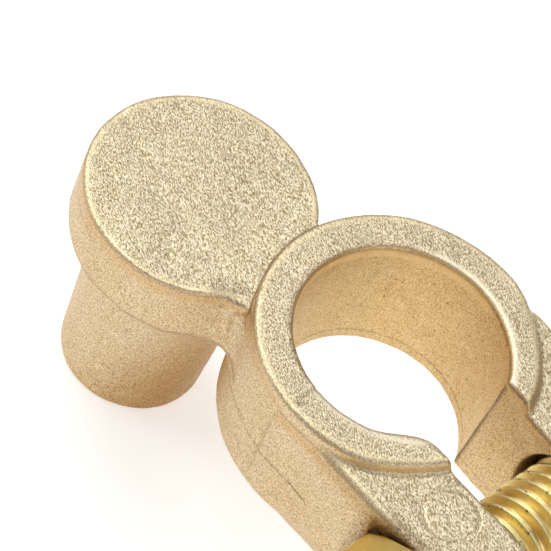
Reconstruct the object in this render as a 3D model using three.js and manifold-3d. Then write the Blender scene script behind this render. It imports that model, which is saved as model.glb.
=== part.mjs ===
// Split-ring terminal clamp with an offset tapered stub post, cast in brass.
// Units: millimetres, +Z up. The origin is on the axis of the clamp bore, at the
// rim face where the bore is widest. +X points from the stub post to the ring.
// The ring is slit on the side away from the post, between two lugs, and a
// hexagon bolt through the lugs draws the ring shut.
import * as THREE from 'three';
import * as BufferGeometryUtils from 'three/addons/utils/BufferGeometryUtils.js';
import Module from 'manifold-3d';

const wasm = await Module();
wasm.setup();

// ---------------------------------------------------------------- dimensions
const SEG = 72;                    // facets round a full turn

const RING_R = 11.5;               // outer radius of the ring
const RING_H = 11.5;               // height of the ring, rim face at z = 0
const BORE_R_TOP = 8.6;            // bore radius at the rim face
const BORE_R_BOTTOM = 7.88;        // bore radius at the lower face
const RIM_CHAMFER = 0.25;

const SLOT_ANGLE = -12;            // degrees, direction of the slit from +X
const LUG_TOP = -1.0;              // lug tops lie below the rim face
const LUG_END = 22.8;              // reach of the lugs along the slit
const LUG_CORNER = 3.2;            // plan radius at the lug ends
const LUG_BEVEL = 1.0;             // slope on the upper and lower outside edges
const LUG_NEAR_OUT = -11.3;        // outside faces of the lugs
const LUG_FAR_OUT = 11.8;
const SLOT_NEAR = [-4.25, -3.55];  // slit faces: at the bore, at the lug ends
const SLOT_FAR = [4.78, 4.05];
const SLOT_DRAFT = [0.03, 0.085];   // the slit narrows downward, near and far face, mm per mm
const SHOULDER_OUT = -11.8;        // shoulder that stops the bolt head turning
const SHOULDER_U = [4.2, 9.72];
const SHOULDER_Z = [-10.4, -2.3];

const BOLT_U = 16.0;               // bolt axis along the slit
const BOLT_Z = -6.1;               // bolt axis height
const HOLE_R = 4.6;                // clearance hole through both lugs
const BOLT_R = 4.0;                // M8 thread, major radius
const BOLT_LENGTH = 35;            // under the head
const HEAD_FACE = -11.72;          // underside of the head
const HEAD_H = 5.3;
const HEX_AF = 12;                 // across flats, head and nut
const WASHER_GAP = 0.4;            // lets the lug tilt as the ring shuts
const WASHER_T = 2.0;
const WASHER_R = [4.2, 7.1];
const WASHER_SPLIT = 1.2;
const NUT_GAP = 0.2;
const NUT_H = 6.5;
const NUT_BORE_R = 4.2;

const FLANGE_X = -19.15;           // axis of the flange and the stub post
const FLANGE_R = 9.2;
const FLANGE_TOP = -0.5;
const FLANGE_T = 5.9;
const POST_R_TOP = 6.6;            // stub post, 1:9 on diameter
const POST_R_END = 5.7;
const POST_END = -22.5;
const POST_CHAMFER = 0.5;

const HINGE_ANGLE = 133;           // where the far half of the ring flexes
const SPLIT_GAP = 0.34;

// ------------------------------------------------------------------- helpers
function solid(geometry) {
  let g = geometry.clone();
  g.deleteAttribute('normal');
  g.deleteAttribute('uv');
  g = BufferGeometryUtils.mergeVertices(g, 1e-4);
  return new wasm.Manifold(new wasm.Mesh({
    numProp: 3,
    vertProperties: new Float32Array(g.attributes.position.array),
    triVerts: new Uint32Array(g.index.array),
  }));
}

function geometryOf(manifold) {
  const m = manifold.getMesh();
  const g = new THREE.BufferGeometry();
  g.setAttribute('position', new THREE.BufferAttribute(new Float32Array(m.vertProperties), 3));
  g.setIndex(new THREE.BufferAttribute(new Uint32Array(m.triVerts), 1));
  const flat = g.toNonIndexed();
  flat.computeVertexNormals();
  return flat;
}

// A solid of revolution about Z through (x, y). profile: [radius, z] from the axis to the axis.
function turned(profile, x = 0, y = 0, seg = SEG) {
  const g = new THREE.LatheGeometry(profile.map(([r, z]) => new THREE.Vector2(r, z)), seg);
  g.rotateX(Math.PI / 2);
  g.translate(x, y, 0);
  return solid(g);
}

// A plan outline between two heights, with an optional slope on its edges.
function plate(points, z0, z1, bevel = 0) {
  const shape = new THREE.Shape(points.map(([x, y]) => new THREE.Vector2(x, y)));
  const g = new THREE.ExtrudeGeometry(shape, {
    depth: z1 - z0 - 2 * bevel, steps: 1, curveSegments: 10,
    bevelEnabled: bevel > 0, bevelThickness: bevel, bevelSize: bevel, bevelOffset: -bevel, bevelSegments: 1,
  });
  g.translate(0, 0, z0 + bevel);
  return g;
}

// Rounds the corners of a polygon: each entry is [x, y, radius].
function rounded(corners, steps = 8) {
  const out = [];
  const n = corners.length;
  for (let i = 0; i < n; i++) {
    const [x, y, r] = corners[i];
    if (!r) { out.push([x, y]); continue; }
    const p = new THREE.Vector2(x, y);
    const a = new THREE.Vector2(...corners[(i + n - 1) % n].slice(0, 2)).sub(p).normalize();
    const b = new THREE.Vector2(...corners[(i + 1) % n].slice(0, 2)).sub(p).normalize();
    const half = Math.acos(THREE.MathUtils.clamp(a.dot(b), -1, 1)) / 2;
    const reach = r / Math.tan(half);
    const centre = a.clone().add(b).normalize().multiplyScalar(r / Math.sin(half)).add(p);
    const s = a.clone().multiplyScalar(reach).add(p).sub(centre);
    const e = b.clone().multiplyScalar(reach).add(p).sub(centre);
    let a0 = Math.atan2(s.y, s.x), a1 = Math.atan2(e.y, e.x);
    while (a1 - a0 > Math.PI) a1 -= 2 * Math.PI;
    while (a1 - a0 < -Math.PI) a1 += 2 * Math.PI;
    for (let k = 0; k <= steps; k++) {
      const t = a0 + (a1 - a0) * k / steps;
      out.push([centre.x + r * Math.cos(t), centre.y + r * Math.sin(t)]);
    }
  }
  return out;
}

const slotTurn = THREE.MathUtils.degToRad(SLOT_ANGLE);

// Everything along the slit is drawn with x along the slit and y across it.
function alongSlot(geometry) {
  return solid(geometry.rotateZ(slotTurn));
}

// Turned or extruded pieces on the bolt axis: drawn along +Z, laid along y.
function onBolt(geometry) {
  geometry.rotateX(-Math.PI / 2);          // +Z to +Y
  geometry.translate(BOLT_U, 0, BOLT_Z);
  return alongSlot(geometry);
}

function lathe(profile, seg = SEG) {
  const g = new THREE.LatheGeometry(profile.map(([r, z]) => new THREE.Vector2(r, z)), seg);
  g.rotateX(Math.PI / 2);
  return g;
}

function hexPrism(acrossFlats, z0, z1) {
  const R = acrossFlats / Math.sqrt(3);
  const pts = [];
  for (let k = 0; k < 6; k++) {
    const t = Math.PI / 2 + k * Math.PI / 3; // corners up and down, flats to the sides
    pts.push([R * Math.cos(t), R * Math.sin(t)]);
  }
  return plate(pts, z0, z1);
}

// ------------------------------------------------------------------- casting
const ring = turned([
  [0, -RING_H], [RING_R - RIM_CHAMFER, -RING_H], [RING_R, -RING_H + RIM_CHAMFER],
  [RING_R, -RIM_CHAMFER], [RING_R - RIM_CHAMFER, 0], [0, 0],
]);

const boreSlope = (BORE_R_TOP - BORE_R_BOTTOM) / RING_H;
const bore = turned([
  [0, -RING_H - 1], [BORE_R_BOTTOM + 1.5, -RING_H - 1], [BORE_R_BOTTOM + 0.5, -RING_H],
  [BORE_R_BOTTOM + boreSlope * 0.6, -RING_H + 0.6],
  [BORE_R_TOP, 0], [BORE_R_TOP + boreSlope, 1], [0, 1],
]);

const lugs = alongSlot(plate(rounded([
  [1, LUG_NEAR_OUT, 0], [LUG_END, LUG_NEAR_OUT, LUG_CORNER],
  [LUG_END, LUG_FAR_OUT, LUG_CORNER], [1, LUG_FAR_OUT, 0],
]), -RING_H, LUG_TOP, LUG_BEVEL));

const shoulder = alongSlot(plate(rounded([
  [1.5, -9, 0], [1.5, -11.2, 0], [SHOULDER_U[0], SHOULDER_OUT, 0],
  [SHOULDER_U[1], SHOULDER_OUT, 0], [SHOULDER_U[1], -9, 0],
], 4), SHOULDER_Z[0], SHOULDER_Z[1], 0.3));

// The slit is a block whose long faces lean in towards the lower side.
const slotBlock = new THREE.BoxGeometry(1, 1, 1);
{
  const p = slotBlock.attributes.position;
  for (let i = 0; i < p.count; i++) {
    const end = p.getX(i) > 0 ? 1 : 0;
    const far = p.getY(i) > 0;
    const z = p.getZ(i) > 0 ? 2 : -RING_H - 2;
    const drop = LUG_TOP - z;
    p.setXYZ(i, end ? LUG_END + 3 : 0.5,
      far ? SLOT_FAR[end] - SLOT_DRAFT[1] * drop : SLOT_NEAR[end] + SLOT_DRAFT[0] * drop, z);
  }
}
const slot = alongSlot(slotBlock);

const hole = onBolt(lathe([[0, -30], [HOLE_R, -30], [HOLE_R, 30], [0, 30]], 48));

const flange = turned([
  [0, FLANGE_TOP - FLANGE_T], [FLANGE_R - 0.9, FLANGE_TOP - FLANGE_T],
  [FLANGE_R - 0.1, FLANGE_TOP - FLANGE_T + 0.8], [FLANGE_R, FLANGE_TOP - 2.1],
  [FLANGE_R - 0.15, FLANGE_TOP - 0.5], [FLANGE_R - 0.5, FLANGE_TOP], [0, FLANGE_TOP],
], FLANGE_X, 0);

const postSlope = (POST_R_TOP - POST_R_END) / (FLANGE_TOP - FLANGE_T - POST_END);
const post = turned([
  [0, POST_END], [POST_R_END - POST_CHAMFER, POST_END],
  [POST_R_END + postSlope * POST_CHAMFER, POST_END + POST_CHAMFER],
  [POST_R_TOP, FLANGE_TOP - FLANGE_T - 0.3], [POST_R_TOP + 0.7, FLANGE_TOP - FLANGE_T + 0.3],
  [POST_R_TOP + 0.7, FLANGE_TOP - 2], [0, FLANGE_TOP - 2],
], FLANGE_X, 0);

// The neck fills the two waists between the flange and the ring.
const neck = solid(plate([
  [FLANGE_X + 1, -8.9], [-15.4, -8.35], [-13.2, -6.95], [-11.9, -6.35], [-10.4, -6.5], [-9.2, -6.9],
  [-8.9, 0], [-9.9, 5.3], [-10.9, 4.75], [-12.0, 4.75], [-13.4, 5.6], [-15.4, 8.0], [FLANGE_X + 1, 8.7],
], FLANGE_TOP - FLANGE_T, FLANGE_TOP, 0.5));

const casting = ring.add(lugs).add(shoulder).add(flange).add(post).add(neck)
  .subtract(bore).subtract(slot).subtract(hole);

// The far half of the ring is its own solid, so that it can flex about the
// ring wall at HINGE_ANGLE. A narrow gap parts the two solids there.
const hingeDir = new THREE.Vector2(
  Math.cos(THREE.MathUtils.degToRad(HINGE_ANGLE)), Math.sin(THREE.MathUtils.degToRad(HINGE_ANGLE)));
const slotDir = new THREE.Vector2(Math.cos(slotTurn), Math.sin(slotTurn));
function farHalf(offset) {
  // offset moves the parting face off the hinge ray, towards the stub post.
  const off = new THREE.Vector2(-hingeDir.y, hingeDir.x).multiplyScalar(offset);
  const a = hingeDir.clone().multiplyScalar(5).add(off);
  const b = hingeDir.clone().multiplyScalar(30).add(off);
  const c = slotDir.clone().multiplyScalar(45);
  return solid(plate([[a.x, a.y], [0, 0], [c.x, c.y], [45, 40], [-20, 40], [b.x, b.y]], -40, 10));
}
const clampBody = casting.subtract(farHalf(SPLIT_GAP / 2));
const clampJaw = casting.intersect(farHalf(-SPLIT_GAP / 2));

// ------------------------------------------------------------------ hardware
const headOuter = HEAD_FACE - HEAD_H;
const headHex = onBolt(hexPrism(HEX_AF, headOuter, HEAD_FACE));
const headCone = onBolt(lathe([
  [0, headOuter], [HEX_AF / 2 - 0.3, headOuter], [HEX_AF / 2 + 1.6, headOuter + 1.1],
  [HEX_AF / 2 + 1.6, HEAD_FACE + 0.5], [0, HEAD_FACE + 0.5],
], 48));
const shank = onBolt(lathe([
  [0, HEAD_FACE - 1], [BOLT_R, HEAD_FACE - 1], [BOLT_R, HEAD_FACE + BOLT_LENGTH - 0.8],
  [BOLT_R - 0.8, HEAD_FACE + BOLT_LENGTH], [0, HEAD_FACE + BOLT_LENGTH],
], 48));
const bolt = headHex.intersect(headCone).add(shank);

const washerFace = LUG_FAR_OUT + WASHER_GAP;
const washerDisc = onBolt(lathe([[0, washerFace], [WASHER_R[1], washerFace],
  [WASHER_R[1], washerFace + WASHER_T], [0, washerFace + WASHER_T]], 48));
const washerHole = onBolt(lathe([[0, washerFace - 1], [WASHER_R[0], washerFace - 1],
  [WASHER_R[0], washerFace + WASHER_T + 1], [0, washerFace + WASHER_T + 1]], 48));
const splitCut = new THREE.BoxGeometry(WASHER_SPLIT, 12, WASHER_T + 2);
splitCut.translate(0, 6, 0);
splitCut.rotateZ(-0.9);
splitCut.translate(0, 0, washerFace + WASHER_T / 2);
const springWasher = washerDisc.subtract(washerHole).subtract(onBolt(splitCut));

const nutFace = washerFace + WASHER_T + NUT_GAP;
const nutOuter = nutFace + NUT_H;
const nutHex = onBolt(hexPrism(HEX_AF, nutFace, nutOuter));
const nutCone = onBolt(lathe([
  [0, nutFace], [HEX_AF / 2 - 0.2, nutFace], [HEX_AF / 2 + 1.18, nutFace + 0.8],
  [HEX_AF / 2 + 1.18, nutOuter - 0.8], [HEX_AF / 2 - 0.2, nutOuter], [0, nutOuter],
], 48));
const nutBore = onBolt(lathe([
  [0, nutFace - 1], [NUT_BORE_R, nutFace - 1], [NUT_BORE_R, nutOuter + 1], [0, nutOuter + 1],
], 48));
const nut = nutHex.intersect(nutCone).subtract(nutBore);

// --------------------------------------------------------------------- scene
const castBrass = () => new THREE.MeshStandardMaterial({ color: 0xcdb07a, roughness: 0.55, metalness: 1.0 });
const turnedBrass = () => new THREE.MeshStandardMaterial({ color: 0xc9a646, roughness: 0.28, metalness: 1.0 });
const springBronze = () => new THREE.MeshStandardMaterial({ color: 0xb79a63, roughness: 0.38, metalness: 1.0 });

const group = new THREE.Group();
for (const [name, body, material] of [
  ['clamp_body', clampBody, castBrass()],
  ['clamp_jaw', clampJaw, castBrass()],
  ['clamp_bolt', bolt, turnedBrass()],
  ['spring_washer', springWasher, springBronze()],
  ['hex_nut', nut, turnedBrass()],
]) {
  const mesh = new THREE.Mesh(geometryOf(body), material);
  mesh.name = name;
  group.add(mesh);
}

export default group;
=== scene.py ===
import bpy
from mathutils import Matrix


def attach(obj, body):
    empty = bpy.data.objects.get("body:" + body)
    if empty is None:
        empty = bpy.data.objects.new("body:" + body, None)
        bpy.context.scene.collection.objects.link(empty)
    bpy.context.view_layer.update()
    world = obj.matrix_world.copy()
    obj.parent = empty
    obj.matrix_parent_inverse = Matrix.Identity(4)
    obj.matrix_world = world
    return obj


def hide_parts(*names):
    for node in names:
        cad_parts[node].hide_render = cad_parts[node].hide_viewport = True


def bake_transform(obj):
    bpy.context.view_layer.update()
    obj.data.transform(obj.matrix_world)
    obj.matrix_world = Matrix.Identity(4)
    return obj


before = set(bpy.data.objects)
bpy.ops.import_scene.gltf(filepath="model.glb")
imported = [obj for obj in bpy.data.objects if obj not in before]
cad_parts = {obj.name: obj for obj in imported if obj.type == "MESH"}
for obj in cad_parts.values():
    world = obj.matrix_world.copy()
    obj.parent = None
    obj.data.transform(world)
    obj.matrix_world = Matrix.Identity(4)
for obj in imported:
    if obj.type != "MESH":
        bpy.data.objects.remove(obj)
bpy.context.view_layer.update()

import bpy
import math
import numpy as np
from mathutils import Matrix, Vector

MM = 0.001

# --------------------------------------------------------------- dimensions
# The same lengths as the CAD model, in millimetres.
RING_H = 11.5
BORE_R_TOP, BORE_R_BOTTOM = 8.6, 7.88
CU, SU = 0.9781476, -0.2079117            # direction of the slit
LUG_END, LUG_NEAR_OUT, LUG_FAR_OUT = 22.8, -11.3, 11.8
BOLT_U, BOLT_Z, HOLE_R = 16.0, -6.1, 4.6
HEAD_FACE, HEAD_H, HEX_AF, BOLT_LENGTH = -11.72, 5.3, 12.0, 35.0
FLANGE_X, FLANGE_R, FLANGE_TOP, FLANGE_T = -19.15, 9.2, -0.5, 5.9
POST_R_TOP, POST_R_END, POST_END = 6.6, 5.75, -22.5
FLANGE_LOW = -6.7                         # lowest point of its rounded lower edge
WASHER_N, WASHER_T, WASHER_IN, WASHER_OUT = 12.2, 2.0, 4.2, 7.1
NUT_N, NUT_H = 14.4, 6.5
NECK = [(-18.15, -8.5), (-15.4, -7.95), (-13.5, -6.45), (-12.4, -6.0), (-11.1, -5.8), (-9.2, -5.8),
        (-8.9, 0.0), (-9.6, 3.2), (-11.0, 3.5), (-12.5, 4.4), (-15.4, 6.6), (-18.15, 8.0)]


# ------------------------------------------------------------------- camera
def camera():
    az, el, roll = math.radians(14.25), math.radians(52.52), math.radians(25.92)
    back = Vector((math.sin(az) * math.cos(el), -math.cos(az) * math.cos(el), math.sin(el)))
    right = Vector((math.cos(az), math.sin(az), 0.0))
    up = back.cross(right)
    r2 = math.cos(roll) * right + math.sin(roll) * up
    u2 = -math.sin(roll) * right + math.cos(roll) * up
    place = (back * 485.88 + r2 * -11.3 + u2 * 5.85) * 0.85 * MM
    data = bpy.data.cameras.new("camera")
    data.lens = 359.3
    data.sensor_width = 36.0
    data.clip_start, data.clip_end = 0.05, 5.0
    cam = bpy.data.objects.new("camera", data)
    m = Matrix((r2, u2, back)).transposed().to_4x4()
    m.translation = place
    cam.matrix_world = m
    bpy.context.scene.collection.objects.link(cam)
    bpy.context.scene.camera = cam
    return r2, u2, back


CAM_R, CAM_U, CAM_B = camera()


# ------------------------------------------------------- distance functions
def smin(a, b, k):
    h = np.maximum(k - np.abs(a - b), 0.0) / k
    return np.minimum(a, b) - h * h * (k * 0.25)


def smax(a, b, k):
    h = np.maximum(k - np.abs(a - b), 0.0) / k
    return np.maximum(a, b) + h * h * (k * 0.25)


def sstep(a, b, x):
    t = np.clip((x - a) / (b - a), 0.0, 1.0)
    return t * t * (3.0 - 2.0 * t)


def round_rect(x, y, x0, x1, y0, y1, r):
    qx = np.abs(x - (x0 + x1) / 2) - (x1 - x0) / 2 + r
    qy = np.abs(y - (y0 + y1) / 2) - (y1 - y0) / 2 + r
    return np.minimum(np.maximum(qx, qy), 0.0) + np.hypot(np.maximum(qx, 0.0), np.maximum(qy, 0.0)) - r


def slab(d2, z, z0, z1, r):
    w0 = d2 + r
    w1 = np.abs(z - (z0 + z1) / 2) - (z1 - z0) / 2 + r
    return np.minimum(np.maximum(w0, w1), 0.0) + np.hypot(np.maximum(w0, 0.0), np.maximum(w1, 0.0)) - r


def polygon(x, y, pts):
    d = np.full(np.broadcast(x, y).shape, 1e9, np.float32)
    inside = np.zeros(d.shape, bool)
    n = len(pts)
    for i in range(n):
        ax, ay = pts[i]
        bx, by = pts[(i + 1) % n]
        ex, ey = bx - ax, by - ay
        wx, wy = x - ax, y - ay
        t = np.clip((wx * ex + wy * ey) / (ex * ex + ey * ey), 0.0, 1.0)
        d = np.minimum(d, (wx - ex * t) ** 2 + (wy - ey * t) ** 2)
        cross = ((ay > y) != (by > y)) & (x < (bx - ax) * (y - ay) / (by - ay + 1e-12) + ax)
        inside ^= cross
    d = np.sqrt(d)
    return np.where(inside, -d, d)


class Lattice:
    """Smooth value noise on a repeating cube of random numbers."""

    def __init__(self, seed, size=32):
        self.size = size
        self.v = np.random.RandomState(seed).uniform(-1.0, 1.0, (size, size, size)).astype(np.float32)

    def __call__(self, x, y, z, cell):
        s = self.size
        out = 0.0
        f, i0 = [], []
        for c, shift in ((x, 3.7), (y, 11.3), (z, 23.9)):
            q = np.asarray(c) / cell + shift
            b = np.floor(q)
            t = (q - b)
            f.append(t * t * (3.0 - 2.0 * t))
            i0.append(b.astype(np.int32))
        for dx in (0, 1):
            for dy in (0, 1):
                for dz in (0, 1):
                    w = (f[0] if dx else 1 - f[0]) * (f[1] if dy else 1 - f[1]) * (f[2] if dz else 1 - f[2])
                    out = out + w * self.v[(i0[0] + dx) % s, (i0[1] + dy) % s, (i0[2] + dz) % s]
        return out


NOISE = [Lattice(11), Lattice(12), Lattice(13), Lattice(14)]

RIM_TH = [-180, -70, -61, -52, -45, -37, -28, 28, 31, 39, 50, 61, 72, 78, 88, 180]
RIM_R = [11.5, 11.5, 11.45, 11.25, 10.98, 10.78, 10.66, 10.6, 10.66, 10.76, 10.80, 10.92, 11.2, 11.36, 11.5, 11.5]


def slot_faces(u, z):
    t = (u - 0.5) / (LUG_END + 2.5)
    drop = -1.0 - z
    return -4.25 + t * 0.70 + 0.03 * drop, 4.78 + t * (4.05 - 4.78) - 0.085 * drop


def casting(x, y, z):
    """Signed distance to the one-piece brass casting, negative inside."""
    u = x * CU + y * SU
    n = -x * SU + y * CU
    rho = np.hypot(x, y)
    th = np.degrees(np.arctan2(n, u))

    # ring, with the rim standing above the lugs and sloping down to them
    from_neck = (th + 146.0 + 180.0) % 360.0 - 180.0
    rim = np.interp(th, RIM_TH, RIM_R) + 0.06 + 0.10 * np.exp(-(from_neck / 24.0) ** 2)
    flare = 0.60 * np.exp(-((from_neck - 1.0) / 9.0) ** 2) * sstep(0.0, -1.7, z) * sstep(-5.0, -2.2, z)
    wall = np.minimum(rim + 0.28 * np.maximum(-z, 0.0), 11.62) + flare
    ring = smax(rho - wall, z, 0.34 + 0.22 * sstep(0.5, 3.5, u))
    ring = smax(ring, -RING_H - z, 0.6)

    # lugs
    plan = round_rect(u, n, 1.0, LUG_END, LUG_NEAR_OUT, LUG_FAR_OUT, 3.2)
    lug = slab(plan, z, -RING_H, -1.0, 0.5)
    side = sstep(-1.6, -3.0, z) * sstep(-7.0, -9.5, n)
    d = smin(ring, lug, 0.08 + 0.32 * sstep(-6.0, -2.5, z) + 0.6 * side)

    # shoulder that stops the bolt head turning
    lead = -11.25 - 0.55 * sstep(1.0, 5.5, u) - 0.12 * sstep(5.5, 9.7, u)
    plan = smax(smax(lead - n, n + 8.0, 0.1), smax(u - 9.72, -0.5 - u, 0.1), 0.3)
    d = smin(d, smax(plan, np.abs(z + 6.15) - 4.35, 1.6), 1.1)

    # flange and neck, one outline in plan
    rf = np.hypot(x - FLANGE_X, y + 0.03 + 0.12 * sstep(-1.5, -4.5, z))
    line = 0.035 * np.exp(-((z + 2.2) / 0.12) ** 2)          # faint trace of the mould joint
    bulge = 9.20 + 0.030 * (z + 0.5) + line
    neck = np.where((x > -21.0) & (x < -6.0), polygon(x, y, NECK), 6.0) - 0.10 * np.maximum(-0.5 - z, 0.0)
    plan = smin(rf - bulge, neck, 0.9)
    ramp = FLANGE_TOP + 0.25 * sstep(-15.5, -10.8, x) - 0.72 * sstep(-3.4, -6.3, y) * sstep(-13.8, -11.5, x)
    fl = smax(plan, z - ramp, 0.27)
    fl = smax(fl, FLANGE_LOW - z, 1.15)

    # stub post
    ro = np.hypot(x - FLANGE_X, y)
    slope = (POST_R_TOP - POST_R_END) / (FLANGE_TOP - FLANGE_T - POST_END)
    flared = 0.50 * np.exp(np.minimum(z + 6.9, 0.0) / 2.0)
    post = smax(ro - (POST_R_END + slope * (z - POST_END) + flared), z + 2.0, 0.3)
    post = smax(post, POST_END - z, 0.75)
    fl = smin(fl, post, 0.9)
    d = smin(d, fl, 0.10 + 0.9 * sstep(-1.2, -2.6, z))

    # bore, slit and bolt hole
    lip = 0.36 * np.exp(-((th + 42.0) / 13.0) ** 2)
    bore = rho - (BORE_R_TOP - 0.07 + 0.070 * z - lip)
    near, far = slot_faces(u, z)
    slit = np.maximum(smax(near - n, n - far, 0.05), 0.5 - u)
    cut = smin(bore, slit, 0.10 + 0.6 * sstep(2.0, -2.0, n))
    d = smax(d, -cut, 0.42)
    hole = np.hypot(u - BOLT_U, z - BOLT_Z) - HOLE_R
    d = smax(d, -hole, 0.4)

    # cast skin: slow unevenness, small dents and marks
    d = d + 0.040 * NOISE[0](x, y, z, 4.6) + 0.024 * NOISE[1](x, y, z, 1.7) + 0.014 * NOISE[2](x, y, z, 0.62)
    part = -7.3 + 0.5 * np.cos(np.radians(th + 70.0)) + 0.12 * NOISE[3](x, y, z, 3.0)
    ridge = np.exp(-((z - part) / 0.11) ** 2) * sstep(10.6, 11.2, rho) * (x < 8.0)
    d = d - 0.035 * ridge
    # shallow groove across the rim, round mark on the near lug
    gx, gy = x + 2.55, y + 9.35
    along = gx * 0.09 + gy * 0.996
    across = gx * 0.996 - gy * 0.09
    d = d + 0.13 * np.exp(-(across / 0.2) ** 2) * sstep(-1.25, -0.9, along) * (1 - sstep(0.8, 1.3, along)) * (z > -0.9)
    ringmark = np.hypot(x - 11.27, y + 9.28) - 2.2
    d = d + 0.095 * np.exp(-(ringmark / 0.15) ** 2) * (z > -1.8) - 0.02 * (ringmark < 0) * (z > -1.8)
    return d


def surface_net(F, origin, h):
    inside = F < 0
    corners = [(0, 0, 0), (1, 0, 0), (0, 1, 0), (1, 1, 0), (0, 0, 1), (1, 0, 1), (0, 1, 1), (1, 1, 1)]
    nx, ny, nz = F.shape
    count = np.zeros((nx - 1, ny - 1, nz - 1), np.uint8)
    for a, b, c in corners:
        count += inside[a:nx - 1 + a, b:ny - 1 + b, c:nz - 1 + c]
    active = (count > 0) & (count < 8)
    i, j, k = np.nonzero(active)
    index = np.full(active.shape, -1, np.int32)
    index[i, j, k] = np.arange(len(i), dtype=np.int32)
    values = [F[i + a, j + b, k + c] for a, b, c in corners]
    total = np.zeros((len(i), 3))
    crossings = np.zeros(len(i))
    for p in range(8):
        for axis in range(3):
            a = corners[p]
            if a[axis]:
                continue
            b = list(a)
            b[axis] = 1
            q = corners.index(tuple(b))
            va, vb = values[p], values[q]
            hit = (va < 0) != (vb < 0)
            t = np.where(hit, va / np.where(hit, va - vb, 1.0), 0.0)
            pos = np.array(a, float)[None, :].repeat(len(i), 0)
            pos[:, axis] += t
            total += pos * hit[:, None]
            crossings += hit
    verts = np.array(origin) + h * (np.stack([i, j, k], 1) + total / crossings[:, None])
    quads = []
    I = inside
    for axis in range(3):
        lo = [slice(1, -1)] * 3
        hi = [slice(1, -1)] * 3
        lo[axis] = slice(0, -1)
        hi[axis] = slice(1, None)
        A, B = I[tuple(lo)], I[tuple(hi)]
        e = np.nonzero(A != B)
        g = [e[m] + (0 if m == axis else 1) for m in range(3)]
        first = A[e]
        p, q = (axis + 1) % 3, (axis + 2) % 3
        ring = []
        for dp, dq in ((-1, -1), (0, -1), (0, 0), (-1, 0)):
            c = [g[0], g[1], g[2]]
            c[p] = c[p] + dp
            c[q] = c[q] + dq
            ring.append(index[c[0], c[1], c[2]])
        ring = np.stack(ring, 1)
        ring[~first] = ring[~first][:, ::-1]
        quads.append(ring)
    return verts, np.concatenate(quads)


def gradient(f, p, h=0.02):
    g = np.empty_like(p)
    for a in range(3):
        e = np.zeros(3)
        e[a] = h
        hi, lo = p + e, p - e
        g[:, a] = (f(hi[:, 0], hi[:, 1], hi[:, 2]) - f(lo[:, 0], lo[:, 1], lo[:, 2])) / (2 * h)
    return g


def mesh_from(name, verts, faces, smooth=True):
    """verts in millimetres; faces an (n, 4) array, or a list of arrays with equal rows."""
    me = bpy.data.meshes.new(name)
    groups = [faces] if isinstance(faces, np.ndarray) else faces
    me.vertices.add(len(verts))
    me.vertices.foreach_set("co", (np.asarray(verts) * MM).astype(np.float32).ravel())
    loops = np.concatenate([g.ravel() for g in groups]).astype(np.int32)
    sizes = np.concatenate([np.full(len(g), g.shape[1], np.int32) for g in groups])
    starts = np.concatenate([[0], np.cumsum(sizes)[:-1]]).astype(np.int32)
    me.loops.add(len(loops))
    me.loops.foreach_set("vertex_index", loops)
    me.polygons.add(len(sizes))
    me.polygons.foreach_set("loop_start", starts)
    me.polygons.foreach_set("loop_total", sizes)
    me.polygons.foreach_set("use_smooth", np.full(len(sizes), smooth))
    me.update(calc_edges=True)
    me.validate()
    ob = bpy.data.objects.new(name, me)
    bpy.context.scene.collection.objects.link(ob)
    rest = me.attributes.new("rest", "FLOAT_VECTOR", "POINT")
    rest.data.foreach_set("vector", np.asarray(verts, np.float32).ravel())
    return ob


def put(ob, name, values):
    a = ob.data.attributes.new(name, "FLOAT", "POINT")
    a.data.foreach_set("value", np.asarray(values, np.float32).ravel())


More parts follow.
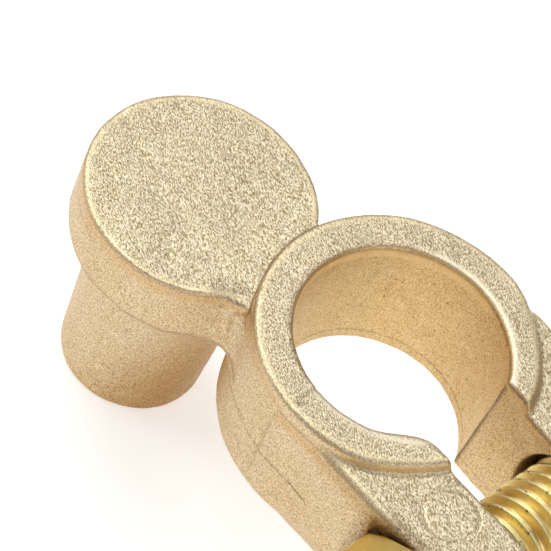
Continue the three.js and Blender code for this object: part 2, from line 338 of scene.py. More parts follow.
# ------------------------------------------------------------------ casting
def make_casting():
    h = 0.17
    lo = np.array([-28.9, -17.0, -23.1])
    hi = np.array([25.3, 12.5, 0.75])
    size = np.ceil((hi - lo) / h).astype(int) + 1
    xs = (lo[0] + h * np.arange(size[0])).astype(np.float32)
    ys = (lo[1] + h * np.arange(size[1])).astype(np.float32)
    zs = (lo[2] + h * np.arange(size[2])).astype(np.float32)
    F = np.empty(tuple(size), np.float32)
    # the field is only worked out in full near the surface: a coarse pass finds where
    step = 6
    cx, cy, cz = xs[::step], ys[::step], zs[::step]
    G = casting(cx[:, None, None], cy[None, :, None], cz[None, None, :])
    reach = h * step * 1.9
    for a in range(len(cx)):
        near = np.abs(G[a]) < reach
        sa = slice(a * step, min((a + 1) * step, size[0]))
        for b in range(len(cy)):
            row = G[a, b]
            sb = slice(b * step, min((b + 1) * step, size[1]))
            F[sa, sb, :] = np.repeat(row, step)[None, None, :size[2]]
            hit = np.nonzero(near[b])[0]
            if len(hit) == 0:
                continue
            zi = (hit[:, None] * step + np.arange(step)[None, :]).ravel()
            zi = zi[zi < size[2]]
            F[sa, sb, zi] = casting(xs[sa][:, None, None], ys[sb][None, :, None], zs[zi][None, None, :])
    verts, quads = surface_net(F, lo, h)
    for _ in range(3):
        g = gradient(casting, verts, 0.03)
        d = casting(verts[:, 0], verts[:, 1], verts[:, 2])
        m = np.maximum((g * g).sum(1), 0.05)
        move = -g * (d / m)[:, None]
        length = np.linalg.norm(move, axis=1)
        verts = verts + move * np.minimum(1.0, 0.12 / np.maximum(length, 1e-9))[:, None]
    ob = mesh_from("casting", verts, quads)

    # what each point of the skin is, for the material
    x, y, z = verts[:, 0], verts[:, 1], verts[:, 2]
    g = gradient(casting, verts, 0.12)
    nrm = g / np.linalg.norm(g, axis=1)[:, None]
    rho = np.hypot(x, y)
    u, n = x * CU + y * SU, -x * SU + y * CU
    put(ob, "top", sstep(0.50, 0.84, nrm[:, 2]) * (z > -2.0))
    inward = -(nrm[:, 0] * x + nrm[:, 1] * y) / np.maximum(rho, 1e-6)
    slit = (np.abs(n - slot_faces(u, z)[1]) < 0.35) & (u > 6.0) & (z < -0.6)
    put(ob, "bore", np.maximum(sstep(0.4, 0.8, inward) * (rho < 9.3), 0.55 * slit * (np.abs(nrm[:, 2]) < 0.6)))
    lap = np.zeros(len(verts))
    e = 0.30
    for a in range(3):
        s = np.zeros(3)
        s[a] = e
        for q in (verts + s, verts - s):
            lap += casting(q[:, 0], q[:, 1], q[:, 2])
    lap = (lap - 6 * casting(x, y, z)) / (e * e)
    put(ob, "ridge", np.clip(lap * 0.45, 0, 1))
    put(ob, "crease", np.clip(-lap * 0.55, 0, 1))
    # plain lengths in millimetres, from which the material draws its edge bands
    th = np.degrees(np.arctan2(n, u))
    rim = np.interp(th, RIM_TH, RIM_R)
    disc = np.hypot(x - FLANGE_X, y + 0.06) - 9.16
    neck = np.where((x > -18.0) & (x < -6.0), polygon(x, y, NECK), 6.0)
    lug = round_rect(u, n, 1.0, LUG_END, LUG_NEAR_OUT, LUG_FAR_OUT, 3.2)
    on_ring = (rho < rim + 0.12) & (x > -11.9)
    on_flange = ~on_ring & (x < -7.0)
    inset = np.where(on_ring, rim - rho, np.where(on_flange, -np.minimum(disc, neck), -lug))
    put(ob, "inset", np.clip(inset, -1.5, 4.0))
    put(ob, "step", np.clip(rho - rim, -2.0, 4.0) + 2.0 * (1.0 - sstep(1.0, 5.0, u)))
    put(ob, "inner", np.clip(rho - (BORE_R_TOP - 0.07), -1.5, 4.0))
    top_z = np.where(on_ring, 0.0, np.where(on_flange, FLANGE_TOP, -1.0))
    put(ob, "drop", np.clip(top_z - z, -0.5, 12.0))
    put(ob, "flange", on_flange.astype(float))
    part = -7.3 + 0.5 * np.cos(np.radians(th + 70.0)) + 0.12 * NOISE[3](x, y, z, 3.0)
    put(ob, "part", np.clip(z - part, -1.5, 1.5) + np.where((rho > 10.5) & (x < 8.0), 0.0, 3.0))
    # mask for the painted shadow round the bolt head on the lug wall
    head = hex_radius(np.arctan2(z - BOLT_Z, u - BOLT_U), HEX_AF)
    gap = np.hypot(u - BOLT_U, z - BOLT_Z) - head
    put(ob, "head_shadow", sstep(2.1, 0.3, gap) * sstep(-9.6, -10.8, n) * (z < -0.7))
    # where the bore meets the slit's far face, for a painted shade line at the slit's mouth
    slit_edge = np.hypot(rho - (BORE_R_TOP - 0.07 + 0.070 * z), n - slot_faces(u, z)[1])
    put(ob, "slit_edge", np.exp(-(slit_edge / 0.17) ** 2) * (z < -0.6) * (u > 2.0))
    return ob


# ---------------------------------------------------------- turned hardware
def hex_radius(phi, af, corner=0.35):
    """Polar radius of a hexagon with slightly rounded corners, corners up and down."""
    best = None
    for k in range(6):
        c = np.cos(phi - math.radians(60 * k))
        r = np.where(c > 0.3, (af / 2) / np.maximum(c, 0.3), 99.0)
        best = r if best is None else smin(best, r, corner)
    return best


def thread_depth(n, phi, pitch=1.25, n0=1.05):
    """How far below the crest a right-handed rolled thread lies at (n, phi)."""
    t = (n + pitch * phi / (2 * math.pi) - n0) / pitch
    t = np.abs(t - np.round(t))                      # 0 at a crest, 0.5 at a root
    flank = np.clip((t - 0.085) / (0.5 - 0.085), 0.0, 1.0)
    depth = 0.66 * (1.0 - (1.0 - flank) ** 2.3)      # steep flank into a wide rounded root
    lap = 0.075 * np.exp(-(t / 0.030) ** 2)          # the fold that rolling leaves on a crest
    round_off = 0.05 * sstep(0.045, 0.10, t)
    return depth + lap + round_off


def rings_mesh(name, rings, phi, closed=False):
    """rings: list of (n, r) arrays round the bolt axis. closed joins the last ring to the first."""
    P = len(phi)
    cu, cz = np.cos(phi), np.sin(phi)
    pts = []
    for nn, r in rings:
        nn = np.broadcast_to(np.asarray(nn, float), (P,))
        r = np.broadcast_to(np.asarray(r, float), (P,))
        U = BOLT_U + r * cu
        Zc = BOLT_Z + r * cz
        X = U * CU + nn * -SU
        Y = U * SU + nn * CU
        pts.append(np.stack([X, Y, Zc], 1))
    verts = np.concatenate(pts)
    R = len(rings)
    faces = []
    a = np.arange(P)
    b = (a + 1) % P
    count = R if closed else R - 1
    for i in range(count):
        i2 = (i + 1) % R
        faces.append(np.stack([i * P + a, i2 * P + a, i2 * P + b, i * P + b], 1))
    quads = np.concatenate(faces)
    extra = []
    if not closed:
        for ring, flip in ((0, False), (R - 1, True)):
            nn = float(np.mean(np.broadcast_to(rings[ring][0], (P,))))
            centre = np.array([[BOLT_U * CU + nn * -SU, BOLT_U * SU + nn * CU, BOLT_Z]])
            c = len(verts)
            verts = np.concatenate([verts, centre])
            tri = np.stack([np.full(P, c), ring * P + a, ring * P + b], 1)
            extra.append(tri if not flip else tri[:, ::-1])
        groups = [quads] + extra
    else:
        groups = [quads]
    return verts, groups


def fix_facing(verts, groups):
    """Turns every face over if the closed mesh encloses a negative volume."""
    vol = 0.0
    for g in groups:
        p0 = verts[g[:, 0]]
        for k in range(1, g.shape[1] - 1):
            vol += np.einsum("ij,ij->i", p0, np.cross(verts[g[:, k]], verts[g[:, k + 1]])).sum()
    return groups if vol > 0 else [g[:, ::-1] for g in groups]


def make_bolt():
    P = 216
    phi = np.linspace(0, 2 * math.pi, P, endpoint=False)
    rings = []
    outer = HEAD_FACE - HEAD_H
    hx = hex_radius(phi, HEX_AF, 0.5)
    chamfer_r = HEX_AF / 2 - 0.35

    def head(nn):
        cone = chamfer_r + (nn - outer) * 1.75
        under = HEX_AF / 2 + 0.35 + (HEAD_FACE - nn) * 1.3
        r = smin(hx, np.full(P, cone), 0.25)
        return smin(r, np.full(P, under), 0.3)

    for r in (1.6, 3.2, 4.6, 5.2):
        rings.append((outer + 0.05 - 0.05 * (r / 5.2), r))
    rings.append((outer, 5.5))
    for t in np.concatenate([np.linspace(0.03, 1.5, 16), np.linspace(1.7, HEAD_H - 1.0, 12), np.linspace(HEAD_H - 0.9, HEAD_H - 0.04, 14)]):
        rings.append((outer + t, head(outer + t)))
    rings.append((HEAD_FACE, np.minimum(head(HEAD_FACE) - 0.1, 6.2)))
    rings.append((HEAD_FACE, 5.4))
    rings.append((HEAD_FACE + 0.02, 4.7))
    rings.append((HEAD_FACE + 0.10, 4.25))
    rings.append((HEAD_FACE + 0.28, 4.03))
    tip = HEAD_FACE + BOLT_LENGTH
    start = HEAD_FACE + 1.2
    nn = np.arange(HEAD_FACE + 0.5, tip - 0.02, 0.046)
    for v in nn:
        fade = float(sstep(start, start + 0.9, v))
        end = max(0.0, (v - (tip - 1.05)))
        r = 3.97 - thread_depth(v, phi) * fade
        r = np.minimum(r, 3.97 - end * 0.85)
        rings.append((v, r))
    rings.append((tip, 2.95))
    rings.append((tip + 0.0, 1.5))
    verts, groups = rings_mesh("hex_bolt", rings, phi)
    groups = fix_facing(verts, groups)
    ob = mesh_from("hex_bolt", verts, groups)
    u = verts[:, 0] * CU + verts[:, 1] * SU
    n = -verts[:, 0] * SU + verts[:, 1] * CU
    r = np.hypot(u - BOLT_U, verts[:, 2] - BOLT_Z)
    put(ob, "root", np.clip((3.9 - r) / 0.6, 0, 1) * (n > start) * (n < tip - 0.9))
    put(ob, "crest", np.clip(1 - (3.99 - r) / 0.10, 0, 1) * (n > start))
    put(ob, "head", (n < HEAD_FACE + 0.3).astype(float))
    put(ob, "thread", ((n > start + 0.2) & (n < tip - 0.7)).astype(float))
    return ob


def make_nut():
    P = 192
    phi = np.linspace(0, 2 * math.pi, P, endpoint=False)
    hx = hex_radius(phi, HEX_AF, 0.5)
    n0, n1 = NUT_N, NUT_N + NUT_H
    rings = []

    def outline(nn):
        a = HEX_AF / 2 - 0.1 + (nn - n0) * 1.7
        b = HEX_AF / 2 - 0.1 + (n1 - nn) * 1.7
        return smin(smin(hx, np.full(P, a), 0.25), np.full(P, b), 0.25)

    rings.append((n0 + 0.45, 4.06))
    rings.append((n0 + 0.02, 4.48))
    rings.append((n0, 4.7))
    rings.append((n0, 5.4))
    rings.append((n0, 5.75))
    for t in np.concatenate([np.linspace(0.03, 1.3, 14), np.linspace(1.5, NUT_H - 1.5, 8), np.linspace(NUT_H - 1.3, NUT_H - 0.03, 14)]):
        rings.append((n0 + t, outline(n0 + t)))
    rings.append((n1, 5.75))
    rings.append((n1, 5.4))
    rings.append((n1, 4.7))
    rings.append((n1 - 0.02, 4.48))
    rings.append((n1 - 0.45, 4.06))
    # the bore keeps clear of the bolt's crests and carries a shallow thread
    for v in np.arange(n1 - 0.5, n0 + 0.5, -0.09):
        rings.append((v, 4.02 + 0.12 * sstep(0.1, 0.9, thread_depth(v, phi) / 0.72)))
    verts, groups = rings_mesh("nut", rings, phi, closed=True)
    groups = fix_facing(verts, groups)
    ob = mesh_from("nut", verts, groups)
    u = verts[:, 0] * CU + verts[:, 1] * SU
    r = np.hypot(u - BOLT_U, verts[:, 2] - BOLT_Z)
    # the nut's bore is marked as a thread root, so it takes the painted shade of the roots
    put(ob, "root", (r < 4.3) * 0.8)
    put(ob, "crest", np.zeros(len(verts)))
    put(ob, "head", np.ones(len(verts)))
    put(ob, "thread", np.zeros(len(verts)))
    return ob


def make_washer():
    """One turn of a rounded square section, slit and slightly helical."""
    gap = math.radians(11.0)
    a0 = math.pi / 2 - 0.9
    T = 150
    ang = np.linspace(a0 + gap / 2, a0 + 2 * math.pi - gap / 2, T)
    sec = []
    hw, ht, r = (WASHER_OUT - WASHER_IN) / 2, 0.88, 0.32
    for cx, cy, s in ((hw - r, ht - r, 0), (-hw + r, ht - r, 1), (-hw + r, -ht + r, 2), (hw - r, -ht + r, 3)):
        for k in range(7):
            t = math.radians(90 * s + 90 * k / 6)
            sec.append((cx + r * math.cos(t), cy + r * math.sin(t)))
    sec = np.array(sec)
    S = len(sec)
    mid = (WASHER_OUT + WASHER_IN) / 2
    rows = []
    for i, a in enumerate(ang):
        s = i / (T - 1)
        lift = (s - 0.5) * 0.2
        shrink = 1.0 - 0.05 * (1 - sstep(0.0, 0.012, min(s, 1 - s)))
        rr = mid + sec[:, 0] * shrink
        nn = WASHER_N + WASHER_T / 2 + sec[:, 1] * shrink + lift
        U = BOLT_U + rr * math.cos(a)
        Zc = BOLT_Z + rr * math.sin(a)
        rows.append(np.stack([U * CU + nn * -SU, U * SU + nn * CU, Zc], 1))
    verts = np.concatenate(rows)
    a = np.arange(S)
    b = (a + 1) % S
    quads = np.concatenate([np.stack([i * S + a, (i + 1) * S + a, (i + 1) * S + b, i * S + b], 1) for i in range(T - 1)])
    caps = []
    for row, flip in ((0, False), (T - 1, True)):
        c = len(verts)
        verts = np.concatenate([verts, rows[row].mean(0)[None]])
        tri = np.stack([np.full(S, c), row * S + a, row * S + b], 1)
        caps.append(tri if not flip else tri[:, ::-1])
    groups = fix_facing(verts, [quads] + caps)
    ob = mesh_from("split_washer", verts, groups)
    return ob


# ---------------------------------------------------------------- materials
class Tree:
    def __init__(self, name):
        self.mat = bpy.data.materials.new(name)
        self.mat.use_nodes = True
        self.t = self.mat.node_tree
        self.t.nodes.clear()
        self.out = self.t.nodes.new("ShaderNodeOutputMaterial")
        self.p = self.t.nodes.new("ShaderNodeBsdfPrincipled")
        self.t.links.new(self.p.outputs[0], self.out.inputs["Surface"])

    def new(self, kind, **props):
        n = self.t.nodes.new(kind)
        for k, v in props.items():
            setattr(n, k, v)
        return n

    def link(self, a, b):
        self.t.links.new(a, b)

    def put(self, socket, value):
        if hasattr(value, "default_value") or hasattr(value, "is_output"):
            self.link(value, socket)
        else:
            socket.default_value = value

    def attr(self, name, vector=False):
        n = self.new("ShaderNodeAttribute", attribute_name=name, attribute_type="GEOMETRY")
        return n.outputs["Vector"] if vector else n.outputs["Fac"]

    def math(self, op, a, b=0.0, c=None, clamp=False):
        n = self.new("ShaderNodeMath", operation=op, use_clamp=clamp)
        self.put(n.inputs[0], a)
        self.put(n.inputs[1], b)
        if c is not None:
            self.put(n.inputs[2], c)
        return n.outputs[0]

    def range(self, v, a, b, lo=0.0, hi=1.0, smooth=False):
        n = self.new("ShaderNodeMapRange", interpolation_type="SMOOTHSTEP" if smooth else "LINEAR")
        self.put(n.inputs["Value"], v)
        n.inputs["From Min"].default_value = a
        n.inputs["From Max"].default_value = b
        n.inputs["To Min"].default_value = lo
        n.inputs["To Max"].default_value = hi
        return n.outputs["Result"]

    def noise(self, vec, scale, detail=2.0, rough=0.5, distortion=0.0):
        n = self.new("ShaderNodeTexNoise", noise_dimensions="3D")
        self.link(vec, n.inputs["Vector"])
        n.inputs["Scale"].default_value = scale
        n.inputs["Detail"].default_value = detail
        n.inputs["Roughness"].default_value = rough
        n.inputs["Distortion"].default_value = distortion
        return n.outputs["Fac"]

    def voronoi(self, vec, scale, feature="F1", out="Distance", randomness=1.0):
        n = self.new("ShaderNodeTexVoronoi", feature=feature)
        self.link(vec, n.inputs["Vector"])
        n.inputs["Scale"].default_value = scale
        n.inputs["Randomness"].default_value = randomness
        return n.outputs[out]

    def mix(self, f, a, b, blend="MIX"):
        n = self.new("ShaderNodeMix", data_type="RGBA", blend_type=blend)
        n.clamp_factor = True
        self.put(n.inputs[0], f)
        self.put(n.inputs[6], a)
        self.put(n.inputs[7], b)
        return n.outputs[2]

    def scale(self, vec, s):
        n = self.new("ShaderNodeVectorMath", operation="MULTIPLY")
        self.link(vec, n.inputs[0])
        n.inputs[1].default_value = s
        return n.outputs[0]

    def dot(self, vec, direction):
        n = self.new("ShaderNodeVectorMath", operation="DOT_PRODUCT")
        self.link(vec, n.inputs[0])
        n.inputs[1].default_value = direction
        return n.outputs["Value"]

    def combine(self, x, y, z):
        n = self.new("ShaderNodeCombineXYZ")
        for k, v in enumerate((x, y, z)):
            self.put(n.inputs[k], v)
        return n.outputs[0]

    def bell(self, v, centre, width):
        """1 at the centre, falling away to 0 over about two widths."""
        t = self.math("DIVIDE", self.math("SUBTRACT", v, centre), width)
        return self.math("EXPONENT", self.math("MULTIPLY", self.math("MULTIPLY", t, t), -1.0))

    def times(self, *vs):
        out = vs[0]
        for v in vs[1:]:
            out = self.math("MULTIPLY", out, v)
        return out

    def bump(self, height, distance, strength=1.0, normal=None):
        n = self.new("ShaderNodeBump")
        n.inputs["Strength"].default_value = strength
        n.inputs["Distance"].default_value = distance
        self.put(n.inputs["Height"], height)
        if normal is not None:
            self.link(normal, n.inputs["Normal"])
        return n.outputs["Normal"]


def lin(r, g, b):
    def f(c):
        c /= 255.0
        return c / 12.92 if c <= 0.04045 else ((c + 0.055) / 1.055) ** 2.4
    return (f(r), f(g), f(b), 1.0)


def cast_brass():
    m = Tree("cast_brass")
    rest = m.attr("rest", vector=True)
    top, bore = m.attr("top"), m.attr("bore")
    ridge, crease, slit_edge = m.attr("ridge"), m.attr("crease"), m.attr("slit_edge")
    inset, inner, drop, step, flange = (m.attr(k) for k in ("inset", "inner", "drop", "step", "flange"))
    side = m.math("SUBTRACT", 1.0, top)
    sx, sz = m.dot(rest, (1, 0, 0)), m.dot(rest, (0, 0, 1))

    # the tops were finished in one direction, so their grain is drawn out along it
    along = m.dot(rest, (0.835 * 0.46, -0.551 * 0.46, 0))
    across = m.dot(rest, (0.551, 0.835, 0))
    drawn = m.combine(along, across, sz)
    hair = m.noise(drawn, 10.5, 1.0, 0.5, 0.3)
    strand = m.noise(drawn, 5.5, 1.0, 0.5, 0.2)
    sand = m.noise(rest, 8.5, 1.0, 0.55)
    grit = m.noise(rest, 3.6, 3.0, 0.62)
    skin = m.noise(rest, 1.1, 3.0, 0.6)
    cloud = m.noise(rest, 0.20, 2.0, 0.5)
    wobble = m.math("ADD", m.times(m.math("SUBTRACT", skin, 0.5), 0.30), m.times(m.math("SUBTRACT", grit, 0.5), 0.45))

    # plain wall: sandy tan with a fine speckle
    wall = m.mix(m.range(cloud, 0.35, 0.65), lin(232, 208, 170), lin(226, 199, 154))
    wall = m.mix(m.times(m.range(sand, 0.40, 0.66), 0.60), wall, lin(250, 234, 204))
    wall = m.mix(m.times(m.range(sand, 0.54, 0.34), 0.62), wall, lin(166, 134, 90))
    wall = m.mix(m.times(m.range(grit, 0.42, 0.30), 0.35), wall, lin(170, 134, 84))

    # tops: olive khaki grain whose cream points are painted glints
    point = m.math("ADD", m.times(hair, 0.80), m.times(strand, 0.20))
    topc = m.mix(m.range(point, 0.37, 0.63), lin(160, 143, 100), lin(255, 246, 216))
    edge = m.math("ADD", inset, wobble)
    # painted highlight: a cream band just inside the top edges, where their rounding catches the light
    lip = m.times(m.bell(edge, 0.30, 0.20), m.range(hair, 0.25, 0.55, 0.45, 0.95))
    topc = m.mix(m.times(lip, 0.75), topc, lin(255, 240, 198))
    # painted shade: a thin dark brown line right on the outer top edges
    line = m.times(m.bell(edge, 0.0, 0.07), m.range(grit, 0.35, 0.6, 0.2, 1.0))
    topc = m.mix(m.times(line, 0.55), topc, lin(150, 112, 62))
    inner_w = m.math("ADD", inner, wobble)
    right = m.range(sx, -4.5, -1.5, smooth=True)
    left = m.math("SUBTRACT", 1.0, right)
    # painted highlight: a bright cream band on the +x side of the bore's rounded rim
    topc = m.mix(m.times(m.bell(inner_w, 0.34, 0.26), right, 0.80), topc, lin(255, 248, 220))
    # painted shade, broken up by speckle, on the -x side of the bore's rounded rim
    inner_rim_shade = m.times(m.bell(inner_w, 0.20, 0.26), left, m.range(sand, 0.42, 0.60))
    topc = m.mix(m.times(inner_rim_shade, 0.60), topc, lin(164, 112, 68))
    colour = m.mix(top, wall, topc)

    # bore: deeper golden tan, a faint tool line near the foot, painted shade under its rim and towards -x, small pits
    bcol = m.mix(m.range(skin, 0.3, 0.7), lin(214, 180, 126), lin(226, 196, 146))
    bcol = m.mix(m.times(m.range(sand, 0.54, 0.34), 0.50), bcol, lin(166, 126, 74))
    bcol = m.mix(m.times(m.range(sand, 0.48, 0.66), 0.30), bcol, lin(244, 218, 172))
    foot = m.times(m.bell(m.math("ADD", sz, m.times(wobble, 0.4)), -10.35, 0.075), m.range(grit, 0.38, 0.56, 0.15, 1.0))
    bcol = m.mix(m.times(foot, 0.65), bcol, lin(120, 84, 46))
    # painted shade: a dark brown line round the bore just under its top edge
    upper = m.times(m.bell(m.math("ADD", drop, m.times(wobble, 0.5)), 0.36, 0.16), m.range(grit, 0.35, 0.55, 0.25, 1.0))
    bcol = m.mix(m.times(upper, 0.65), bcol, lin(140, 98, 52))
    # painted shade: the bore is darkened towards -x
    bcol = m.mix(m.range(sx, -3.0, -7.8), bcol, m.mix(1.0, bcol, (0.83, 0.84, 0.84, 1), "MULTIPLY"))
    colour = m.mix(m.times(bore, 0.9), colour, bcol)
    pits = m.times(m.range(m.voronoi(rest, 1.45), 0.150, 0.095, 0, 1), m.range(m.noise(rest, 0.5, 1.0), 0.46, 0.56))
    colour = m.mix(m.times(pits, side, m.math("ADD", m.times(bore, 0.62), 0.10)), colour, lin(98, 70, 40))

    # edges: a thin dark line of painted shade and a warm band under the top, a soft amber foot to the rim
    plain = m.times(side, m.math("SUBTRACT", 1.0, bore))
    rag = m.math("ADD", drop, m.times(wobble, 0.8))
    # painted shade: a thin dark line on the walls just under the top edges
    under = m.times(m.bell(rag, 0.30, 0.15), plain, m.range(grit, 0.32, 0.55, 0.35, 1.0))
    colour = m.mix(m.times(under, 0.50), colour, lin(150, 114, 64))
    colour = m.mix(m.times(m.bell(rag, 0.85, 0.45), plain, 0.40), colour, lin(216, 168, 100))
    # painted shade: a brown line along the flange's rounded lower edge, where it overhangs the post
    lower = m.times(m.bell(m.math("ADD", sz, wobble), -6.08, 0.26), flange, side)
    colour = m.mix(m.times(lower, 0.55), colour, lin(158, 118, 68))
    trace = m.times(m.bell(sz, -2.3, 0.10), flange, side, m.range(sx, -21.0, -25.0))
    colour = m.mix(m.times(trace, 0.55), colour, lin(150, 120, 78))
    parting = m.times(m.bell(m.math("ADD", m.attr("part"), m.times(wobble, 0.6)), 0.0, 0.095), m.range(grit, 0.38, 0.56, 0.1, 1.0),
                      m.range(sx, 2.5, 0.5))
    scratch = m.times(m.bell(m.math("ADD", sz, m.times(sx, -0.05)), -6.78, 0.055), m.range(sx, -0.5, -0.2), m.range(sx, 1.8, 1.4),
                      m.range(m.dot(rest, (0, 1, 0)), -10.2, -10.8))
    colour = m.mix(m.times(scratch, 0.75), colour, lin(104, 72, 38))
    colour = m.mix(m.times(parting, 0.65), colour, lin(128, 96, 58))
    amber = m.times(m.bell(m.math("ADD", step, m.times(wobble, 0.5)), 0.08, 0.20), m.range(sz, -1.3, -1.0, 0, 1),
                    m.range(sz, -0.15, -0.40, 0, 1))
    colour = m.mix(m.times(amber, 0.70), colour, lin(232, 200, 150))
    # painted shade in concave creases and corners, weaker on the tops
    corner = m.times(m.range(crease, 0.14, 0.80), m.math("SUBTRACT", 1.0, m.times(top, 0.85)), m.range(step, 0.6, 1.4, 0.3, 1.0))
    colour = m.mix(m.times(corner, 0.65), colour, lin(150, 110, 60))
    # painted shadow: dark brown round the bolt head on the lug wall
    colour = m.mix(m.times(m.attr("head_shadow"), m.range(grit, 0.36, 0.58, 1.0, 0.45), 0.85), colour, lin(112, 74, 34))
    # painted shade: a dark line where the bore opens into the slit
    colour = m.mix(m.times(slit_edge, 0.75), colour, lin(92, 62, 32))
    # a darker brown patch, broken up by grit, at the corner where the neck meets the ring
    neck_corner = m.new("ShaderNodeVectorMath", operation="DISTANCE")
    m.link(rest, neck_corner.inputs[0])
    neck_corner.inputs[1].default_value = (-11.6, -6.1, -1.0)
    colour = m.mix(m.times(m.bell(neck_corner.outputs["Value"], 0.0, 0.55), m.range(grit, 0.5, 0.36), 0.8), colour, lin(112, 88, 48))

    # painted shade: the post is warmer and darker on the side turned to the ring and towards its end
    away = m.dot(rest, (0.118, 0.045, -0.052))
    post_shade = m.times(m.range(m.math("ADD", away, m.times(m.math("SUBTRACT", skin, 0.5), 0.3)), -1.75, -0.75, smooth=True),
                      m.range(sz, -6.6, -7.6), m.range(sx, -10.5, -12.0))
    colour = m.mix(post_shade, colour, m.mix(1.0, colour, (0.72, 0.56, 0.35, 1), "MULTIPLY"))
    gain = m.mix(top, m.mix(bore, (0.885, 0.875, 0.845, 1), (1.13, 1.18, 1.17, 1)), (1.04, 1.0, 1.0, 1))
    colour = m.mix(1.0, colour, gain, "MULTIPLY")
    m.link(colour, m.p.inputs["Base Color"])

    m.p.inputs["Metallic"].default_value = 1.0
    rough = m.math("ADD", m.range(sand, 0.3, 0.7, 0.55, 0.45), m.times(top, m.range(hair, 0.35, 0.65, 0.02, -0.06)))
    m.link(rough, m.p.inputs["Roughness"])

    # relief
    h_top = m.math("ADD", m.times(hair, 0.42), m.times(strand, 0.30))
    h_wall = m.math("ADD", m.times(sand, 0.30), m.times(grit, 0.40))
    h = m.math("ADD", m.times(h_top, top), m.times(h_wall, side))
    h = m.math("SUBTRACT", h, m.times(pits, side, 0.35))
    nrm = m.bump(skin, 0.00005, 0.5)
    nrm = m.bump(h, 0.00006, 1.0, nrm)
    m.link(nrm, m.p.inputs["Normal"])
    return m.mat


def turned_brass():
    m = Tree("turned_brass")
    rest = m.attr("rest", vector=True)
    root, crest, head = m.attr("root"), m.attr("crest"), m.attr("head")
    cloud = m.noise(rest, 0.8, 3.0, 0.6)
    fine = m.noise(rest, 5.0, 2.0, 0.6)
    mark = m.noise(rest, 2.0, 2.0, 0.6)
    streak = m.noise(m.scale(rest, (0.5, 2.4, 0.5)), 3.0, 2.0, 0.6)
    colour = m.mix(m.range(cloud, 0.35, 0.65), lin(226, 200, 136), lin(214, 184, 116))
    # painted shade in the thread roots and a painted highlight, cream, on the crests
    colour = m.mix(m.times(root, 0.30), colour, lin(196, 158, 84))
    colour = m.mix(m.times(crest, 0.55), colour, lin(255, 244, 204))
    colour = m.mix(m.times(head, 0.80), colour, lin(196, 166, 96))
    near_crest = m.times(m.range(root, 0.55, 0.15), m.attr("thread"))
    speck = m.times(m.range(mark, 0.60, 0.66), near_crest)
    colour = m.mix(m.times(speck, 0.85), colour, lin(54, 52, 30))
    colour = m.mix(m.times(m.range(m.noise(rest, 0.55, 2.0), 0.54, 0.66), root, 0.6), colour, lin(150, 100, 46))
    colour = m.mix(1.0, colour, m.mix(head, (1.33, 1.47, 1.60, 1), (1.60, 1.74, 1.78, 1)), "MULTIPLY")
    m.link(colour, m.p.inputs["Base Color"])
    m.p.inputs["Metallic"].default_value = 1.0
    m.link(m.math("ADD", m.range(cloud, 0.3, 0.7, 0.46, 0.36), m.times(head, -0.08)), m.p.inputs["Roughness"])
    nrm = m.bump(m.math("ADD", m.times(streak, 0.5), m.times(fine, 0.25)), 0.000018, 0.6)
    m.link(nrm, m.p.inputs["Normal"])
    return m.mat


def washer_bronze():
    m = Tree("washer_bronze")
    rest = m.attr("rest", vector=True)
    cloud = m.noise(rest, 0.7, 3.0, 0.6)
    fine = m.noise(rest, 6.0, 2.0, 0.6)
    colour = m.mix(m.range(cloud, 0.35, 0.65), lin(204, 170, 112), lin(178, 140, 84))
    colour = m.mix(m.range(fine, 0.6, 0.75), colour, lin(132, 100, 58))
    m.link(colour, m.p.inputs["Base Color"])
    m.p.inputs["Metallic"].default_value = 1.0
    m.link(m.range(fine, 0.3, 0.7, 0.42, 0.30), m.p.inputs["Roughness"])
    m.link(m.bump(fine, 0.00004, 0.8), m.p.inputs["Normal"])
    return m.mat


def pale_floor():
    m = Tree("pale_floor")
    geo = m.new("ShaderNodeTexCoord").outputs["Object"]
    n = m.noise(geo, 30.0, 2.0, 0.5)
    m.link(m.mix(m.range(n, 0.3, 0.7), (0.90, 0.90, 0.90, 1), (0.92, 0.92, 0.92, 1)), m.p.inputs["Base Color"])
    m.p.inputs["Roughness"].default_value = 0.9
    m.p.inputs["Specular IOR Level"].default_value = 0.0
    m.p.inputs["Emission Color"].default_value = (1, 1, 1, 1)
    m.p.inputs["Emission Strength"].default_value = 0.50
    return m.mat


# -------------------------------------------------------------------- build
brass, turned, bronze = cast_brass(), turned_brass(), washer_bronze()

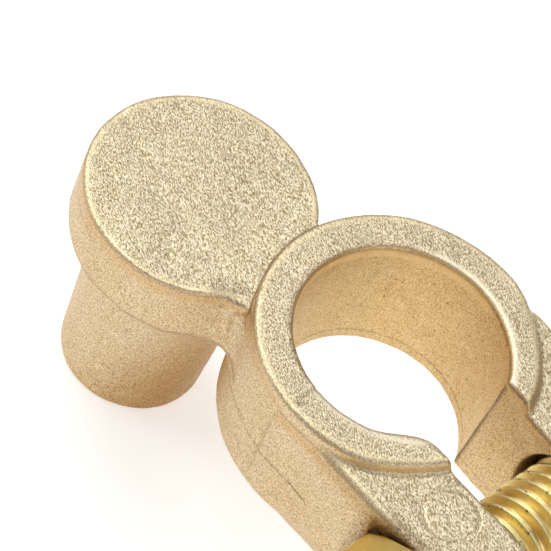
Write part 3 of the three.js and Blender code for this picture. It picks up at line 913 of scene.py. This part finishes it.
cast = make_casting()
cast.data.materials.append(brass)
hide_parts("clamp_body", "clamp_jaw")
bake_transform(cast)

bolt = make_bolt()
bolt.data.materials.append(turned)
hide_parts("clamp_bolt")
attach(bolt, "body")

washer = make_washer()
washer.data.materials.append(bronze)
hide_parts("spring_washer")
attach(washer, "washer")

nut = make_nut()
nut.data.materials.append(turned)
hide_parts("hex_nut")
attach(nut, "nut")

# -------------------------------------------------------- floor and lights
bpy.ops.mesh.primitive_plane_add(size=6.0, location=(0, 0, -0.0226))
floor = bpy.context.object
floor.name = "floor"
floor.data.materials.append(pale_floor())

world = bpy.data.worlds.new("studio")
bpy.context.scene.world = world
world.use_nodes = True
wt = world.node_tree
wt.nodes.clear()
wout = wt.nodes.new("ShaderNodeOutputWorld")
wbg = wt.nodes.new("ShaderNodeBackground")
wbg.inputs["Color"].default_value = (1.0, 0.99, 0.97, 1)
wbg.inputs["Strength"].default_value = 0.40
wt.links.new(wbg.outputs[0], wout.inputs["Surface"])


def area(name, direction, distance, size, power, colour=(1, 1, 1)):
    data = bpy.data.lights.new(name, "AREA")
    data.shape = "DISK"
    data.size = size
    data.energy = power
    data.color = colour
    ob = bpy.data.objects.new(name, data)
    d = direction.normalized()
    ob.location = d * distance
    ob.rotation_mode = "QUATERNION"
    ob.rotation_quaternion = d.to_track_quat("Z", "Y")
    bpy.context.scene.collection.objects.link(ob)
    return ob


area("top", CAM_B * 0.5 + CAM_U, 0.55, 0.30, 0.82)
area("left", CAM_B * 0.6 - CAM_R * 0.8 + CAM_U * 0.8, 0.55, 0.30, 0.42)
area("right", CAM_B * 0.6 + CAM_R * 0.8 + CAM_U * 0.8, 0.55, 0.30, 0.32)
area("front", CAM_B + CAM_R * 0.8 - CAM_U * 0.8, 0.55, 0.30, 0.48)
area("low", CAM_B - CAM_R * 0.8 - CAM_U * 0.6, 0.55, 0.30, 0.12)

bpy.context.scene.view_settings.view_transform = "Standard"
bpy.context.scene.view_settings.look = "None"
bpy.context.scene.view_settings.exposure = 0.0
bpy.context.scene.view_settings.gamma = 1.0
